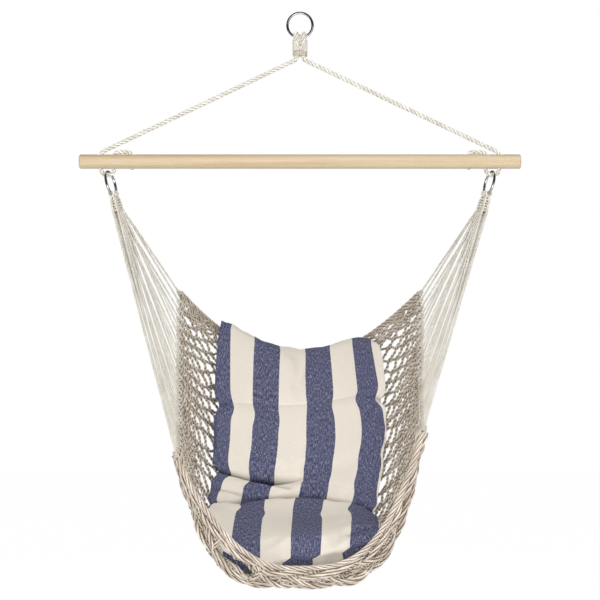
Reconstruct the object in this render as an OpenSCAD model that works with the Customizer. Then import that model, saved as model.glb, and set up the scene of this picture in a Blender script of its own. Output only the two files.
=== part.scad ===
// Hanging rope hammock chair. A steel ring hangs from a hook and carries two ropes, which spread to a
// wooden bar. A ring under each end of the bar holds a fan of cords, and the fans carry a knotted net
// with one long cushion in it. The origin is the centre of the top ring, X runs along the bar, and the
// sitter faces -Y.

/* [Rings] */
// Outside diameter of the three steel rings
ring_od = 50; // [46:1:60]
// Diameter of the ring wire
wire_d = 4.5; // [3.5:0.1:5]
// Inward lean of the two side rings in degrees
ring_lean = 15; // [10:1:18]
// Turn of the two side rings about their own drop in degrees
ring_turn = 13; // [0:1:16]

/* [Spreader bar] */
// Length of the bar
bar_len = 800; // [780:5:840]
// Diameter of the bar
bar_d = 26; // [24:1:30]
// Height of the top ring's centre above the bar's axis
bar_drop = 247; // [235:1:260]
// Rounding of the bar's end edges
bar_round = 3; // [1:0.5:6]
// Distance from the bar's end to its outer hole
hole_inset = 39; // [36:1:46]
// Distance from the outer hole to the middle hole
loop_pitch = 24; // [22:1:28]
// Distance from the middle hole to the inner hole
arch_pitch = 32; // [28:1:40]
// Widening of the hole mouths, on which the rope bends
mouth_chamfer = 2.6; // [2.4:0.1:3.5]

/* [Hanger rope] */
// Diameter of the hanger rope
rope_d = 8; // [7:0.5:9]
// Diameter of the spliced stretch below the top ring
splice_d = 10.4; // [9.5:0.1:11]
// Length of the spliced stretch below the top ring
splice_len = 34; // [30:1:40]
// Distance between the two spliced stretches
splice_pitch = 12; // [11.5:0.1:13]
// Turns of twine that bind the two ropes together
seizing_turns = 3; // [2:1:4]
// Diameter of the binding twine
twine_d = 2.6; // [2:0.1:3]

/* [Clews] */
// Length of the woven head below a side ring
clew_len = 30; // [26:1:36]
// Thickness of the woven head
clew_t = 13; // [12.5:0.5:15]
// Width of the woven head at its lower end
clew_w = 40; // [39:1:46]
// Diameter of one clew cord
cord_d = 4.6; // [4:0.1:4.8]
// Diameter of the knot where a cord meets the net
knot_d = 9; // [7:0.5:10]
// Doubled cords in each clew
cords = 12; // [12:1:12]

/* [Net] */
// Half width between the side edges at the back
back_half_w = 224; // [212:1:236]
// Half width between the side edges at the front
front_half_w = 198; // [188:1:208]
// Depth of the back corners behind the bar
back_corner_y = 112; // [102:1:122]
// Depth of the front corners in front of the bar
front_corner_y = 328; // [318:1:338]
// Drop of the back corners below the bar's axis
back_corner_drop = 242; // [232:1:252]
// Drop of the front corners below the bar's axis
front_corner_drop = 486; // [474:1:498]
// Height by which the left front corner hangs below the mean, and the right one above it
front_skew = 22; // [0:1:30]
// Sag of the side edges at their middle
edge_sag = 33; // [20:1:45]
// Depth of the middle of the back edge behind the bar
back_mid_y = 287; // [277:1:297]
// Drop of the middle of the back edge below the bar's axis
back_mid_drop = 378; // [366:1:390]
// Slope of the back in degrees
back_rake = 44; // [41:0.5:47]
// Length of the straight back
back_len = 347; // [332:1:362]
// Radius of the fold between back and seat
fold_r = 290; // [260:5:320]
// Slope of the seat in degrees
seat_slope = 2.5; // [1:0.5:4]
// Length of the straight seat
seat_len = 178; // [168:1:188]
// Radius of the front lip
lip_r = 34; // [30:1:40]
// Upward heading of the net at the lip's end in degrees
lip_rise = 72; // [60:1:100]
// Sideways hang of the seat towards the left
seat_hang = 16; // [0:1:18]
// Fullness of the lip on the right over its mean, and under it on the left
lip_skew = 0.85; // [0:0.05:1]
// How far the lip's edge is drawn in towards the middle at its sides
lip_draw = 2.2; // [0.8:0.1:2.4]
// Straightness of the back edge on the right
back_skew = 0.18; // [0:0.02:0.2]
// Thickness of the net's strands
strand_d = 5; // [4:0.1:5.5]
// Diameter of the border ropes
border_d = 9; // [8:0.5:10]

/* [Cushion] */
// Width of the cushion
cushion_w = 318; // [305:1:322]
// Length of the cushion
cushion_len = 702; // [690:1:710]
// Thickness at the fullest place
cushion_t = 62; // [54:1:66]
// Thickness of the cover
cover_t = 1; // [0.8:0.1:1.5]
// Height by which the long edges stand up at the top
top_cup = 99; // [93:1:105]
// Height by which the long edges stand up at the front
seat_cup = 46; // [40:1:54]
// Height by which the top left corner lies above the middle of the top edge
top_lift = 18; // [10:1:22]
// Height by which the left edge stands above the mean at the front, and the right one below it
seat_lean = 12; // [8:1:14]
// Sag of the cushion's front end on the left, into the net
corner_sag = 24; // [0:1:26]

/* [Fits] */
// Clearance between neighbours that lie against each other
fit = 0.3; // [0.25:0.05:0.4]
// Clearance between a ring's wire and the rope that turns on it
ring_clear = 0.6; // [0.5:0.1:0.8]
// Clearance of the rope in the bar's holes
hole_clear = 0.5; // [0.4:0.1:0.8]

/* [Hidden] */
// Columns across the net, an even number
net_cols = 14;
// Rows along the net, two for each leg of a cord
net_rows = 4 * cords - 2;
// Share by which the net's rows draw together at the back edge and at the lip
gather = 0.3;
// Samples for measuring a row of the net
row_steps = 40;
// Sides of a swept rope, and of a cord
rope_sides = 10;
cord_sides = 8;
// How far a cut runs past the surface
cut_over = 1;

ring_r = (ring_od - wire_d) / 2;
wire_r = wire_d / 2;
rope_r = rope_d / 2;
strand_r = strand_d / 2;
border_r = border_d / 2;
cord_r = cord_d / 2;
bar_r = bar_d / 2;
bar_top = bar_r - bar_drop;
bar_bottom = -bar_r - bar_drop;
hole_r = rope_r + hole_clear;
outer_x = bar_len / 2 - hole_inset;
middle_x = outer_x - loop_pitch;
inner_x = middle_x - arch_pitch;

// The rope loop under the bar, and the side ring that hangs in it
loop_r = loop_pitch / 2;
loop_x = outer_x - loop_r;
loop_z = bar_bottom - loop_r;
side_wire = rope_r + wire_r + ring_clear;
ring_down = [-sin(ring_lean), 0, -cos(ring_lean)];
side_ring_at = [loop_x, 0, loop_z + side_wire] + ring_r * ring_down;

// The eyes on the top ring
splice_x = splice_pitch / 2;
eye_z = -sqrt(ring_r * ring_r - splice_x * splice_x);
eye_r = rope_r + wire_r + ring_clear;

function cord_name(side, k) = str(side, "_cord_", k < 10 ? "0" : "", k);
function unit(v) = v / norm(v);
function mix(a, b, t) = a + (b - a) * t;
function last(list) = len(list) - 1;
function ease(t) = t <= 0 ? 0 : t >= 1 ? 1 : t * t * (3 - 2 * t);
function flip(points) = [for (p = points) [-p.x, p.y, p.z]];
function arc_points(c, r, u, v, a0, a1, n) =
    [for (k = [0:n]) let (a = mix(a0, a1, k / n)) c + r * (cos(a) * u + sin(a) * v)];

// Swept tubes: rings of points about a path, carried along without twist
function path_dirs(path) =
    [for (i = [0:last(path)]) unit(path[min(i + 1, last(path))] - path[max(i - 1, 0)])];
function square_to(n, t) = unit(n - (n * t) * t);
function carried(dirs, first) =
    [for (n = square_to(first, dirs[0]), i = 0; i <= last(dirs);
        n = square_to(n, dirs[min(i + 1, last(dirs))]), i = i + 1) n];
function tube_points(path, radii, first, sides) =
    let (dirs = path_dirs(path), normals = carried(dirs, first))
    [for (i = [0:last(path)]) for (k = [0:sides - 1])
        let (a = 360 * k / sides)
        path[i] + radii[i] * (cos(a) * normals[i] + sin(a) * cross(dirs[i], normals[i]))];
function tube_faces(rings, sides) = concat(
    [[for (k = [0:sides - 1]) k]],
    [for (i = [0:rings - 2]) for (k = [0:sides - 1]) for (half = [0, 1])
        let (a = i * sides + k, b = i * sides + (k + 1) % sides)
        half == 0 ? [a, a + sides, b] : [b, a + sides, b + sides]],
    [[for (k = [sides - 1:-1:0]) (rings - 1) * sides + k]]
);

module tube(path, radii, first, sides) {
    polyhedron(tube_points(path, radii, first, sides), tube_faces(len(path), sides));
}

// The net's centre line in Y and Z: straight back, fold, straight seat and lip
fold_len = fold_r * (back_rake - seat_slope) * PI / 180;
lip_len = lip_r * (seat_slope + lip_rise) * PI / 180;
net_len = back_len + fold_len + seat_len + lip_len;
back_start = [back_mid_y, -bar_drop - back_mid_drop];
fold_start = back_start + back_len * slope_dir(back_rake);
seat_start = fold_start + bend_step(fold_r, back_rake, seat_slope);
lip_start = seat_start + seat_len * slope_dir(seat_slope);

function slope_dir(a) = [-cos(a), -sin(a)];
function bend_step(r, a, b) = r * [sin(b) - sin(a), cos(a) - cos(b)];
function turned(a, s, r) = a - s / r * 180 / PI;
function heading(s) =
    let (f = s - back_len, e = f - fold_len, l = e - seat_len)
    f < 0 ? back_rake
    : e < 0 ? turned(back_rake, f, fold_r)
    : l < 0 ? seat_slope
    : turned(seat_slope, l, lip_r);
function centre_line(s) =
    let (f = s - back_len, e = f - fold_len, l = e - seat_len)
    f < 0 ? back_start + s * slope_dir(back_rake)
    : e < 0 ? fold_start + bend_step(fold_r, back_rake, heading(s))
    : l < 0 ? seat_start + e * slope_dir(seat_slope)
    : lip_start + bend_step(lip_r, seat_slope, heading(s));
function inward(s) = [-sin(heading(s)), cos(heading(s))];

// The net's surface: v runs from the back edge to the lip, and x from -1 to 1 across
function row_at(v) = net_len * (v - gather * sin(360 * v) / (2 * PI));
function side_edge(v, side) =
    let (skew = side * front_skew * v)
    [
        side * mix(back_half_w, front_half_w, v),
        mix(back_corner_y, -front_corner_y, v),
        skew - bar_drop - mix(back_corner_drop, front_corner_drop, v) - 4 * edge_sag * v * (1 - v)
    ];
function bowl(v, side) =
    mix(mix(2, 3.7, ease(v / 0.3)), 5.1, ease((v - 0.35) / 0.3)) - lip_draw * ease((v - 0.86) / 0.14)
    + side * lip_skew * ease((v - 0.6) / 0.35) - max(side, 0) * back_skew * (1 - ease(v / 0.3));
function hang(t) = -seat_hang * ease((t - 0.4) / 0.3);
function net_at(x, v) =
    let (side = x < 0 ? -1 : 1, w = pow(abs(x), bowl(v, side)))
    let (e = side_edge(v, side), c = centre_line(row_at(v)))
    [abs(x) * e.x + hang(v) * (1 - x * x), mix(c.x, e.y, w), mix(c.y, e.z, w)];
function running(points) =
    [for (a = 0, i = 0; i <= last(points);
        a = a + norm(points[min(i + 1, last(points))] - points[i]), i = i + 1) a];
function even_row(v, cols) =
    let (xs = [for (k = [-row_steps:row_steps]) k / row_steps])
    let (lengths = running([for (x = xs) net_at(x, v)]), total = lengths[last(lengths)])
    let (table = [for (k = [0:last(xs)]) [lengths[k], xs[k]]])
    [for (i = [0:cols]) net_at(lookup(total * i / cols, table), v)];

net_grid = [for (j = [0:net_rows]) even_row(j / net_rows, net_cols)];
function grid_normal(i, j) =
    unit(cross(
        net_grid[j][min(i + 1, net_cols)] - net_grid[j][max(i - 1, 0)],
        net_grid[min(j + 1, net_rows)][i] - net_grid[max(j - 1, 0)][i]
    ));

module ring() {
    color("silver") rotate_extrude($fn = 96) translate([ring_r, 0]) circle(wire_r, $fn = 48);
}

module top_ring() {
    rotate([90, 0, 0]) ring();
}

// The frame of a side ring: origin at its centre, -Z towards the net, X square to the ring
module at_side_ring(side) {
    translate([side * side_ring_at.x, 0, side_ring_at.z]) rotate([0, side * ring_lean, 0])
        rotate([0, 0, side * ring_turn]) children();
}

module side_ring(side) {
    at_side_ring(side) rotate([0, 90, 0]) ring();
}

module left_ring() {
    side_ring(-1);
}

module right_ring() {
    side_ring(1);
}

// A round bar with eased ends and three holes at each end
module spreader_bar() {
    color("burlywood") difference() {
        translate([-bar_len / 2, 0, -bar_drop]) rotate([0, 90, 0])
            rotate_extrude($fn = 96) bar_profile();
        for (side = [-1, 1]) for (x = [outer_x, middle_x, inner_x])
            translate([side * x, 0, 0]) bar_hole();
    }
}

module bar_profile() {
    square([bar_r - bar_round, bar_len]);
    translate([0, bar_round]) square([bar_r, bar_len - 2 * bar_round]);
    for (z = [bar_round, bar_len - bar_round])
        translate([bar_r - bar_round, z]) circle(bar_round, $fn = 48);
}

module bar_hole() {
    mouth_h = mouth_chamfer + cut_over;
    translate([0, 0, bar_bottom - cut_over])
        cylinder(h = bar_d + 2 * cut_over, r = hole_r, $fn = 48);
    translate([0, 0, bar_top - mouth_chamfer])
        cylinder(h = mouth_h, r1 = hole_r, r2 = hole_r + mouth_h, $fn = 48);
}

// The hanger rope on the right: tail, eye, spliced stretch, leg, loop under the bar and arch over it
splice_end = eye_z - splice_len;
splice_bend_r = 9;
mouth_bend_r = 10;
arch_r = 8;
arch_z = bar_top + rope_r + fit;
mouth_z = bar_top - 3;
tail_out = 2;
leg_slope = leg_angle(25);

// The leg is straight between the bend below the binding and the bend into the outer hole
function leg_from(a) = [splice_x + splice_bend_r * (1 - sin(a)), splice_end - splice_bend_r * cos(a)];
function leg_to(a) = [outer_x - mouth_bend_r * (1 - sin(a)), mouth_z + mouth_bend_r * cos(a)];
function leg_angle(guess) = refined(refined(refined(guess)));
function refined(a) = let (d = leg_to(a) - leg_from(a)) atan2(-d.y, d.x);

function bend(c, r, signs, a0, a1, n) =
    arc_points(c, r, [signs.x, 0, 0], [0, 0, signs.y], a0, a1, n);
function hanger_route() = concat(
    [[splice_x, splice_d / 2 + 2.4, eye_z - 22], [splice_x, eye_r + 0.8, eye_z - 11]],
    arc_points([splice_x, 0, eye_z], eye_r, [0, 1, 0], [0, 0, 1], 0, 180, 8),
    [[splice_x, -4.2, eye_z - 9], [splice_x, -1, eye_z - 18], [splice_x, 0, eye_z - 24]],
    bend([splice_x + splice_bend_r, 0, splice_end], splice_bend_r, [-1, -1], 0, 90 - leg_slope, 4),
    bend([outer_x - mouth_bend_r, 0, mouth_z], mouth_bend_r, [1, 1], 90 - leg_slope, 0, 4),
    bend([loop_x, 0, bar_bottom], loop_r, [1, -1], 0, 180, 10),
    bend([middle_x - arch_r, 0, arch_z - arch_r], arch_r, [1, 1], 0, 90, 4),
    bend([inner_x + arch_r, 0, arch_z - arch_r], arch_r, [-1, 1], 90, 0, 4),
    [[inner_x, 0, bar_bottom - tail_out]]
);
function hanger_radii(n) = [for (i = [0:n - 1])
    i == 0 ? rope_r * 0.5
    : i == 1 ? rope_r * 0.8
    : i < 11 ? rope_r
    : i < 14 ? mix(rope_r, splice_d / 2, min(1, (i - 10) / 2))
    : i < 15 ? splice_d / 2
    : i < 19 ? mix(splice_d / 2, rope_r, (i - 14) / 4)
    : rope_r];

module hanger_rope(side) {
    route = hanger_route();
    path = side > 0 ? route : flip(route);
    color("wheat") tube(path, hanger_radii(len(path)), [1, 0, 0], rope_sides);
}

module left_hanger_rope() {
    hanger_rope(-1);
}

module right_hanger_rope() {
    hanger_rope(1);
}

// Turns of twine round both spliced stretches, just above where the ropes part
module top_seizing() {
    turn_r = splice_d / 2 + fit + twine_d / 2;
    pitch = twine_d * 0.92;
    color("tan") for (k = [0:seizing_turns - 1]) translate([0, 0, splice_end + 1 + pitch * k]) {
        for (side = [-1, 1]) translate([side * splice_x, 0, 0]) rotate([0, 0, -90 * side])
            rotate_extrude(angle = 180, $fn = 64) translate([turn_r, 0]) circle(twine_d / 2, $fn = 24);
        for (y = [-turn_r, turn_r]) translate([-splice_x, y, 0]) rotate([0, 90, 0])
            cylinder(h = splice_pitch, d = twine_d, $fn = 24);
    }
}

// The head of a clew, in the frame of its ring
clew_in = wire_r + fit;
clew_out = clew_t / 2;
clew_arc = 76;
clew_top_w = 2 * (ring_r - 4) * sin(clew_arc / 2);
clew_foot = ring_r + clew_len;

module clew(side) {
    color("wheat") at_side_ring(side) difference() {
        union() {
            saddle(clew_out);
            clew_head();
        }
        rotate([0, 90, 0]) rotate_extrude($fn = 96) translate([ring_r, 0]) circle(clew_in, $fn = 48);
    }
}

// Cords turned over the ring's wire
module saddle(r) {
    rotate([0, 90, 0]) rotate([0, 0, -clew_arc / 2]) rotate_extrude(angle = clew_arc, $fn = 96)
        translate([ring_r, 0]) circle(r, $fn = 48);
}

// The woven head spreads from the ring to the cords
module clew_head() {
    rotate([90, 0, 90]) translate([0, 0, -clew_t / 2]) linear_extrude(clew_t) polygon([
        [-clew_top_w / 2, -ring_r * cos(clew_arc / 2)],
        [-clew_w / 2, -clew_foot],
        [clew_w / 2, -clew_foot],
        [clew_top_w / 2, -ring_r * cos(clew_arc / 2)]
    ]);
}

module left_clew() {
    clew(-1);
}

module right_clew() {
    clew(1);
}

// Clew cords: each is doubled, its legs start together at the head and end at two knots of the net's edge
cord_pitch = (clew_w - cord_d - 2 * fit) / (cords - 1);
cord_stagger = (clew_t - cord_d - 2 * fit) / 2;
clew_axis = ring_down;
lean_out = [cos(ring_lean), 0, -sin(ring_lean)];
clew_across = cos(ring_turn) * [0, 1, 0] - sin(ring_turn) * lean_out;
clew_through = cos(ring_turn) * lean_out + sin(ring_turn) * [0, 1, 0];

function cord_root(k) =
    side_ring_at + clew_foot * clew_axis
    + (clew_w / 2 - cord_r - fit - cord_pitch * (k - 1)) * clew_across
    + (k % 2 == 0 ? 1 : -1) * cord_stagger * clew_through;
function edge_knot(k, leg) = net_grid[4 * (k - 1) + 2 * leg][net_cols];
function left_edge_knot(k, leg) = let (p = net_grid[4 * (k - 1) + 2 * leg][0]) [-p.x, p.y, p.z];

module cord(side, k) {
    color("wheat") mirror([side < 0 ? 1 : 0, 0, 0]) for (leg = [0, 1])
        cord_leg(cord_root(k), side < 0 ? left_edge_knot(k, leg) : edge_knot(k, leg));
}

module cord_leg(from, to) {
    dir = unit(to - from);
    slant = acos(dir * clew_axis);
    start = (fit + cord_r * sin(slant)) / cos(slant);
    length = norm(to - from) - strand_r - fit - start;
    translate(from + start * dir) along(dir) {
        cylinder(h = length, r = cord_r, $fn = cord_sides);
        translate([0, 0, length - knot_d]) cylinder(h = knot_d, d = knot_d, $fn = cord_sides);
    }
}

module along(dir) {
    rotate([0, acos(dir.z), atan2(dir.y, dir.x)]) children();
}

// The net: knots on every second place of the grid, and strands round its lozenge gaps
function knot_id(i, j) = (j * (net_cols + 1) + i) / 2;
knot_places = [for (j = [0:net_rows]) for (i = [0:net_cols]) if ((i + j) % 2 == 0) [i, j]];
gap_places = [for (j = [1:net_rows - 1]) for (i = [1:net_cols - 1]) if ((i + j) % 2 == 1) [i, j]];
knots = len(knot_places);
function knot_at(p) = net_grid[p.y][p.x];
function gap_corners(p) = [[p.x - 1, p.y], [p.x, p.y - 1], [p.x + 1, p.y], [p.x, p.y + 1]];
function drawn_in(corner, middle, a, b) =
    mix(corner, middle, min(0.6, strand_r * norm([a, b]) / (a * b)));
function gap_ring(p) =
    let (c = [for (q = gap_corners(p)) knot_at(q)], middle = (c[0] + c[1] + c[2] + c[3]) / 4)
    let (a = norm(c[2] - c[0]) / 2, b = norm(c[3] - c[1]) / 2)
    [for (q = c) drawn_in(q, middle, a, b)];

// The border runs zigzag round the net: outer knots have two points outside, inner ones have one
border_walk = concat(
    [for (i = [0:net_cols - 1]) [i, i % 2]],
    [for (j = [0:net_rows - 1]) [net_cols - j % 2, j]],
    [for (i = [net_cols:-1:1]) [i, net_rows - i % 2]],
    [for (j = [net_rows:-1:1]) [j % 2, j]]
);
walk_len = len(border_walk);
function walk_place(n) = border_walk[(n + walk_len) % walk_len];
function is_outer(p) = p.x == 0 || p.x == net_cols || p.y == 0 || p.y == net_rows;
function outside(n) =
    let (p = walk_place(n), here = knot_at(p))
    let (before = knot_at(walk_place(n - 1)), after = knot_at(walk_place(n + 1)))
    let (middle = (before + after) / 2, away = unit(here - middle))
    is_outer(p)
        ? let (t = unit(cross(grid_normal(p.x, p.y), away)))
            [for (s = [-1, 1]) [here + strand_r * (0.6 * away + s * t), knot_id(p.x, p.y)]]
        : [[
            drawn_in(here, middle, norm(here - middle), norm(after - before) / 2),
            knot_id(p.x, p.y)
        ]];
border_points = [for (n = [0:walk_len - 1]) each outside(n)];

function strip(a_top, b_top, a_low, b_low, a_side, b_side) = concat(
    a_top == b_top ? [[a_top, a_side, b_side]] : [[a_top, b_side, b_top], [a_top, a_side, b_side]],
    a_low == b_low ? [[a_low, b_side, a_side]] : [[a_low, b_low, b_side], [a_low, b_side, a_side]]
);
net_points = concat(
    [for (p = knot_places) knot_at(p) + strand_r * grid_normal(p.x, p.y)],
    [for (p = knot_places) knot_at(p) - strand_r * grid_normal(p.x, p.y)],
    [for (p = gap_places) each gap_ring(p)],
    [for (b = border_points) b[0]]
);
gap_base = 2 * knots;
border_base = gap_base + 4 * len(gap_places);
net_faces = concat(
    [for (g = [0:len(gap_places) - 1]) for (q = [0:3])
        let (c = gap_corners(gap_places[g]), n = (q + 1) % 4)
        let (a = knot_id(c[q].x, c[q].y), b = knot_id(c[n].x, c[n].y))
        each strip(a, b, a + knots, b + knots, gap_base + 4 * g + q, gap_base + 4 * g + n)],
    [for (n = [0:len(border_points) - 1])
        let (m = (n + 1) % len(border_points), a = border_points[m][1], b = border_points[n][1])
        each strip(a, b, a + knots, b + knots, border_base + m, border_base + n)]
);

module net() {
    color("wheat") polyhedron(net_points, net_faces);
}

// Border ropes lie along the back edge and along the lip
border_out = strand_r + fit + border_r;
function border_route(row, next) = [for (i = [0:net_cols])
    let (away = unit(net_grid[row][i] - net_grid[next][i])) net_grid[row][i] + border_out * away];

module border_rope(row, next) {
    path = border_route(row, next);
    color("wheat") tube(path, [for (p = path) border_r], [0, 1, 0], rope_sides);
}

module back_border_rope() {
    border_rope(0, 1);
}

module front_border_rope() {
    border_rope(net_rows, net_rows - 1);
}

// The cushion lies on the net: t runs from its top to its front end, and q from -1 to 1 across
pad_cols = 12;
pad_rows = 22;
pad_over = 4;
// Room for the straight facets of the net under the cushion's middle
pad_clear = 0.6;
// Shares by which the cushion is narrower at its ends and on the seat
end_draw = 0.05;
seat_draw = 0.07;
// Share of the net's hang that the cushion follows
pad_hang = 0.75;
pad_half = cushion_t / 2;
pad_lift = strand_r + fit + pad_clear + pad_half;
// Lines that draw the cushion in: a stitched one across the back, and two folds above the seat. Each has
// its place on the left and on the right as shares of the length, the sag of its ends, and the shares
// drawn in on the left and on the right.
tucks = [[0.315, 0.27, 0, 0.3, 0.3], [0.525, 0.5, 0, 0.34, 0.1], [0.565, 0.565, 0.17, 0.34, 0.3]];
tuck_w = 0.03;
// How far the top corners are rounded off, and the share more for the right one and less for the left one
top_round = 60;
round_skew = 0.45;

function tuck_line(k, q) = mix(k[0], k[1], (q + 1) / 2) + k[2] * q * q;
function tuck_at(q, t) = max([for (k = tucks)
    mix(k[3], k[4], (q + 1) / 2) * exp(-pow((t - tuck_line(k, q)) / tuck_w, 2))]);
function pad_width(q, t) =
    cushion_w / 2 * (1 - 0.2 * tuck_at(sign(q), t)) * (1 - end_draw * pow(abs(2 * t - 1), 6))
    * (1 - seat_draw * ease((t - 0.3) / 0.4));
function pad_fill(q, t) =
    pow(1 - pow(abs(q), 3.2), 0.55) * pow(1 - pow(abs(2 * t - 1), 9), 0.55)
    * (1 - tuck_at(q, t) * (1 - 0.4 * q * q));
function pad_cup(q, t) =
    (mix(top_cup, seat_cup, ease(t / 0.8)) - q * seat_lean * ease((t - 0.5) / 0.4)) * pow(abs(q), 2.2)
    + corner_sag * min(q, 0) * (1 - pow(q, 4)) * ease((t - 0.74) / 0.24);
function pad_down(q, t) =
    (top_round * (1 + round_skew * q) * pow(abs(q), 5) + top_lift * min(q, 0)) * (1 - ease(t / 0.4));
function pad_at(q, t, inset, h) =
    let (r = q * (1 - inset / pad_width(q, t)))
    let (s = mix(inset, cushion_len - inset, t) - pad_over + pad_down(r, t))
    let (c = centre_line(s) + (pad_lift + pad_cup(r, t) + h) * inward(s))
    [r * pad_width(q, t) + pad_hang * hang(t), c.x, c.y];

// One face of the pad: front is 1 or -1, and lift is its height over the seam at the edge
function pad_sheet(front, inset, lift) = [for (j = [0:pad_rows]) for (i = [0:pad_cols])
    let (q = sin(90 * (2 * i / pad_cols - 1)), t = (1 - cos(180 * j / pad_rows)) / 2)
    pad_at(q, t, inset, front * (lift + (pad_half - inset - lift) * pad_fill(q, t)))];
sheet_size = (pad_cols + 1) * (pad_rows + 1);
function sheet_faces(base, turn) =
    [for (j = [0:pad_rows - 1]) for (i = [0:pad_cols - 1]) for (half = [0, 1])
        let (a = base + j * (pad_cols + 1) + i, b = a + pad_cols + 1)
        let (same = (i < pad_cols / 2) == (j < pad_rows / 2))
        let (f = same
            ? (half == 0 ? [a, a + 1, b + 1] : [a, b + 1, b])
            : (half == 0 ? [a, a + 1, b] : [a + 1, b + 1, b]))
        turn ? [f[0], f[2], f[1]] : f];
seam_walk = concat(
    [for (i = [0:pad_cols - 1]) i],
    [for (j = [0:pad_rows - 1]) j * (pad_cols + 1) + pad_cols],
    [for (i = [pad_cols:-1:1]) pad_rows * (pad_cols + 1) + i],
    [for (j = [pad_rows:-1:1]) j * (pad_cols + 1)]
);
function seam_faces(turn) = [for (n = [0:last(seam_walk)]) for (half = [0, 1])
    let (a = seam_walk[n], b = seam_walk[(n + 1) % len(seam_walk)])
    let (f = half == 0 ? [a, a + sheet_size, b] : [b, a + sheet_size, b + sheet_size])
    turn ? [f[0], f[2], f[1]] : f];

module cushion_panel(front) {
    back = front < 0;
    color("ivory") polyhedron(
        concat(pad_sheet(front, 0, fit), pad_sheet(front, cover_t, fit)),
        concat(sheet_faces(0, back), sheet_faces(sheet_size, !back), seam_faces(back))
    );
}

module cushion_front_panel() {
    cushion_panel(1);
}

module cushion_back_panel() {
    cushion_panel(-1);
}

module cushion_filling() {
    inset = cover_t + 2 * fit;
    color("white") polyhedron(
        concat(pad_sheet(1, inset, 0), pad_sheet(-1, inset, 0)),
        concat(sheet_faces(0, false), sheet_faces(sheet_size, true))
    );
}

top_ring();
left_hanger_rope();
right_hanger_rope();
top_seizing();
spreader_bar();
left_ring();
right_ring();
left_clew();
right_clew();
for (k = [1:cords]) cord(-1, k);
for (k = [1:cords]) cord(1, k);
net();
back_border_rope();
front_border_rope();
cushion_filling();
cushion_front_panel();
cushion_back_panel();
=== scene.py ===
"""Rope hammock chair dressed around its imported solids: twisted ropes, knotted net, striped cushion."""

import math
from collections import namedtuple

import bpy
import numpy as np
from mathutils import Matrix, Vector


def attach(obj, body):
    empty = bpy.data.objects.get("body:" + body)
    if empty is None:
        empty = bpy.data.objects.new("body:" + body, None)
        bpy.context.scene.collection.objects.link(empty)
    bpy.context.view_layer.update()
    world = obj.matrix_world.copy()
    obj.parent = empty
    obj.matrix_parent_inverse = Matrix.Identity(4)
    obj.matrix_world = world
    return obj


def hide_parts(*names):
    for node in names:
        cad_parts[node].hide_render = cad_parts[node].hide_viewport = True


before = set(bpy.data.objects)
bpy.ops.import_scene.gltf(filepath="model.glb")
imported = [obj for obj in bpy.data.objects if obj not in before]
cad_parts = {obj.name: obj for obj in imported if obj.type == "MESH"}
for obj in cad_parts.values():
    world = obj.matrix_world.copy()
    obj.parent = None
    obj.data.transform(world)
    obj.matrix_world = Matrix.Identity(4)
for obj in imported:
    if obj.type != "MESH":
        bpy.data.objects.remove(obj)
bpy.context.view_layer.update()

MM = 0.001
SEED = 7

# Sizes of the part in millimetres
RING_R = 22.75
WIRE_R = 2.25
RING_LEAN, RING_TURN = 15, 13
BAR_DROP = 247
BAR_R = 13
OUTER_X, MIDDLE_X, INNER_X = 361, 337, 305
ROPE_R = 4
SPLICE_R = 5.2
SPLICE_X = 6
EYE_Z = -math.sqrt(RING_R**2 - SPLICE_X**2)
EYE_R = ROPE_R + WIRE_R + 0.6
SPLICE_END = EYE_Z - 34
CLEW_LEN, CLEW_T, CLEW_W = 30, 13, 40
CORD_R = 2.3
CORDS = 12
KNOT_LEN = 9
STRAND_R = 2.5
BORDER_R = 4.5
NET_ROWS = 46
NET_COLS = 28
CUSHION_W, CUSHION_LEN, CUSHION_T = 318, 702, 62


def mix(a, b, t):
    return a + (b - a) * t


def ease(t):
    t = min(max(t, 0), 1)
    return t * t * (3 - 2 * t)


def unit(v):
    v = np.asarray(v, float)
    return v / np.linalg.norm(v)


# The sling surface: a centre line of straight back, fold, straight seat and lip, with raised side edges
BACK_RAKE, SEAT_SLOPE, LIP_RISE = 44, 2.5, 72
BACK_LEN, FOLD_R, SEAT_LEN, LIP_R = 347, 290, 178, 34
FOLD_LEN = FOLD_R * math.radians(BACK_RAKE - SEAT_SLOPE)
LIP_LEN = LIP_R * math.radians(SEAT_SLOPE + LIP_RISE)
NET_LEN = BACK_LEN + FOLD_LEN + SEAT_LEN + LIP_LEN
GATHER = 0.3
SEAT_HANG = 16
LIP_SKEW, LIP_DRAW, BACK_SKEW = 0.85, 2.2, 0.18
# How steeply a row rises to its ends: at the back edge, half way down the back and on the seat
BACK_POWER, WAIST_POWER, SEAT_POWER = 2, 3.7, 5.1
# Side edges at the back and at the lip: half width, depth and drop below the bar
EDGE_HALF, EDGE_Y, EDGE_DROP = (224, 198), (112, -328), (242, 486)
EDGE_SAG, EDGE_SKEW = 33, 22
BACK_Y, BACK_DROP = 287.0, 378.0


def slope_dir(a):
    return np.array([-math.cos(math.radians(a)), -math.sin(math.radians(a))])


def bend_step(r, a, b):
    a, b = math.radians(a), math.radians(b)
    return r * np.array([math.sin(b) - math.sin(a), math.cos(a) - math.cos(b)])


BACK_START = np.array([BACK_Y, -BAR_DROP - BACK_DROP])
FOLD_START = BACK_START + BACK_LEN * slope_dir(BACK_RAKE)
SEAT_START = FOLD_START + bend_step(FOLD_R, BACK_RAKE, SEAT_SLOPE)
LIP_START = SEAT_START + SEAT_LEN * slope_dir(SEAT_SLOPE)


def heading(s):
    fold, seat, lip = s - BACK_LEN, s - BACK_LEN - FOLD_LEN, s - NET_LEN + LIP_LEN
    if fold < 0:
        return BACK_RAKE
    if seat < 0:
        return BACK_RAKE - math.degrees(fold / FOLD_R)
    if lip < 0:
        return SEAT_SLOPE
    return SEAT_SLOPE - math.degrees(lip / LIP_R)


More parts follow.
